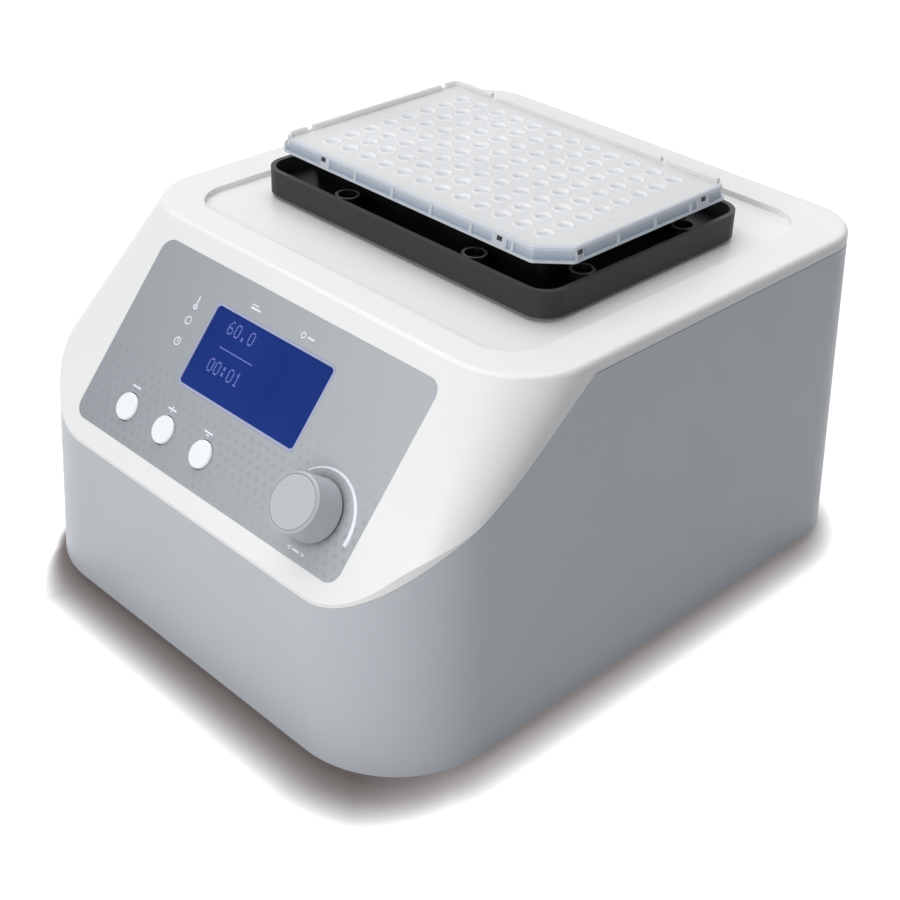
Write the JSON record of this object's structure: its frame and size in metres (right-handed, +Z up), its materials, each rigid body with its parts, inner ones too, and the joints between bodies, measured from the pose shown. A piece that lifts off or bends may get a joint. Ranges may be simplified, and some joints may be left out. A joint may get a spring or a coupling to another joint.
{
  "type": "cooling dry block incubator",
  "caption": "Benchtop cooling and shaking dry block incubator with a sloped control panel, a turning knob and a lift-off well plate on an orbiting block.",
  "frame": {"origin": "on the bench, under the middle of the housing's footprint", "axes": "+X to the right of someone facing the control panel, +Y to the back, +Z up"},
  "size_m": [0.1964, 0.2346, 0.1429],
  "materials": {
    "housing_plastic": "fine matt grain",
    "cover_plastic": "satin",
    "base_steel": "fine powder coat",
    "foot_rubber": "matt",
    "panel_film": "satin film",
    "bezel_plastic": "satin",
    "window_clear": "clear",
    "display_face": "smooth",
    "board_green": "satin lacquer",
    "standoff_brass": "turned",
    "black_plastic": "satin",
    "zinc": "satin",
    "coil_tape": "tape",
    "capacitor_sleeve": "shrink sleeve",
    "pin_nickel": "bright plated",
    "rocker_plastic": "satin",
    "aluminium_plain": "milled",
    "steel_turned": "turned",
    "motor_paint": "satin",
    "ceramic_white": "ceramic",
    "foam_grey": "closed-cell foam",
    "anodised_dark": "black anodised",
    "frame_dark": "dark anodised",
    "plate_plastic": "smooth moulded",
    "button_plastic": "satin",
    "knob_plastic": "satin"
  },
  "bodies": {
    "housing": {"lower_housing": "housing_plastic", "top_cover": "cover_plastic", "base_plate": "base_steel", "foot_left_front": "foot_rubber", "foot_left_back": "foot_rubber", "foot_right_front": "foot_rubber", "foot_right_back": "foot_rubber", "panel_overlay": "panel_film", "display_bezel": "bezel_plastic", "display_window": "window_clear", "display_module": "display_face", "panel_board": "board_green", "panel_standoffs": "standoff_brass", "tact_switches": "black_plastic", "encoder_body": "zinc", "power_board": "board_green", "power_transformer": "coil_tape", "power_capacitors": "capacitor_sleeve", "control_board": "board_green", "board_components": "black_plastic", "board_spacers": "standoff_brass", "power_inlet": "black_plastic", "inlet_pins": "pin_nickel", "switch_frame": "black_plastic", "fan_frame": "black_plastic", "drive_deck": "aluminium_plain", "deck_pillars": "steel_turned", "drive_motor": "motor_paint"},
    "crank": {"motor_shaft": "steel_turned", "counterweight": "steel_turned"},
    "platform": {"shaker_table": "aluminium_plain", "sink_posts": "steel_turned", "heat_sink": "aluminium_plain", "cooling_module_left": "ceramic_white", "cooling_module_right": "ceramic_white", "insulation_frame": "foam_grey", "contact_plate": "aluminium_plain", "well_block": "anodised_dark", "block_frame": "frame_dark"},
    "idler_left": {"idler_crank_left": "steel_turned"},
    "idler_right": {"idler_crank_right": "steel_turned"},
    "idler_back": {"idler_crank_back": "steel_turned"},
    "plate": {"microplate": "plate_plastic"},
    "button_a": {"left_button": "button_plastic"},
    "button_b": {"middle_button": "button_plastic"},
    "button_c": {"right_button": "button_plastic"},
    "dial": {"knob": "knob_plastic", "encoder_shaft": "steel_turned"},
    "rocker": {"power_rocker": "rocker_plastic"},
    "fan": {"fan_rotor": "black_plastic"},
    "fuse_tray": {"fuse_drawer": "black_plastic"}
  },
  "joints": [
    {"name": "crank_turn", "type": "hinge", "parent": "housing", "child": "crank", "pos_m": [0, 0.02248, 0.06], "axis": [0, 0, 1], "continuous": true},
    {"name": "platform_turn", "type": "hinge", "parent": "crank", "child": "platform", "pos_m": [0.0015, 0.02248, 0.066], "axis": [0, 0, 1], "continuous": true},
    {"name": "idler_left_turn", "type": "hinge", "parent": "housing", "child": "idler_left", "pos_m": [-0.06, -0.01755, 0.05], "axis": [0, 0, 1], "continuous": true},
    {"name": "idler_right_turn", "type": "hinge", "parent": "housing", "child": "idler_right", "pos_m": [0.06, -0.01755, 0.05], "axis": [0, 0, 1], "continuous": true},
    {"name": "idler_back_turn", "type": "hinge", "parent": "housing", "child": "idler_back", "pos_m": [0, 0.0625, 0.05], "axis": [0, 0, 1], "continuous": true},
    {"name": "plate_lift", "type": "slide", "parent": "platform", "child": "plate", "axis": [0, 0, 1], "range_m": [0, 0.03]},
    {"name": "left_button_press", "type": "slide", "parent": "housing", "child": "button_a", "axis": [0, 0.7727, -0.6347], "range_m": [0, 0.0006], "stiffness_N_per_m": 300},
    {"name": "middle_button_press", "type": "slide", "parent": "housing", "child": "button_b", "axis": [0, 0.7727, -0.6347], "range_m": [0, 0.0006], "stiffness_N_per_m": 300},
    {"name": "right_button_press", "type": "slide", "parent": "housing", "child": "button_c", "axis": [0, 0.7727, -0.6347], "range_m": [0, 0.0006], "stiffness_N_per_m": 300},
    {"name": "knob_turn", "type": "hinge", "parent": "housing", "child": "dial", "pos_m": [0.047, -0.10323, 0.08109], "axis": [0, -0.7727, 0.6347], "continuous": true},
    {"name": "rocker_tilt", "type": "hinge", "parent": "housing", "child": "rocker", "pos_m": [-0.052, 0.1102, 0.066], "axis": [0, 0, 1], "range_deg": [0, 14]},
    {"name": "fan_turn", "type": "hinge", "parent": "housing", "child": "fan", "pos_m": [0.022, 0.1, 0.05], "axis": [0, 1, 0], "continuous": true},
    {"name": "fuse_drawer_slide", "type": "slide", "parent": "housing", "child": "fuse_tray", "axis": [0, 1, 0], "range_m": [0, 0.014]}
  ],
  "couplings": [
    {"joint": "platform_turn", "follows": "crank_turn", "ratio": -1},
    {"joint": "idler_left_turn", "follows": "crank_turn", "ratio": 1},
    {"joint": "idler_right_turn", "follows": "crank_turn", "ratio": 1},
    {"joint": "idler_back_turn", "follows": "crank_turn", "ratio": 1}
  ]
}
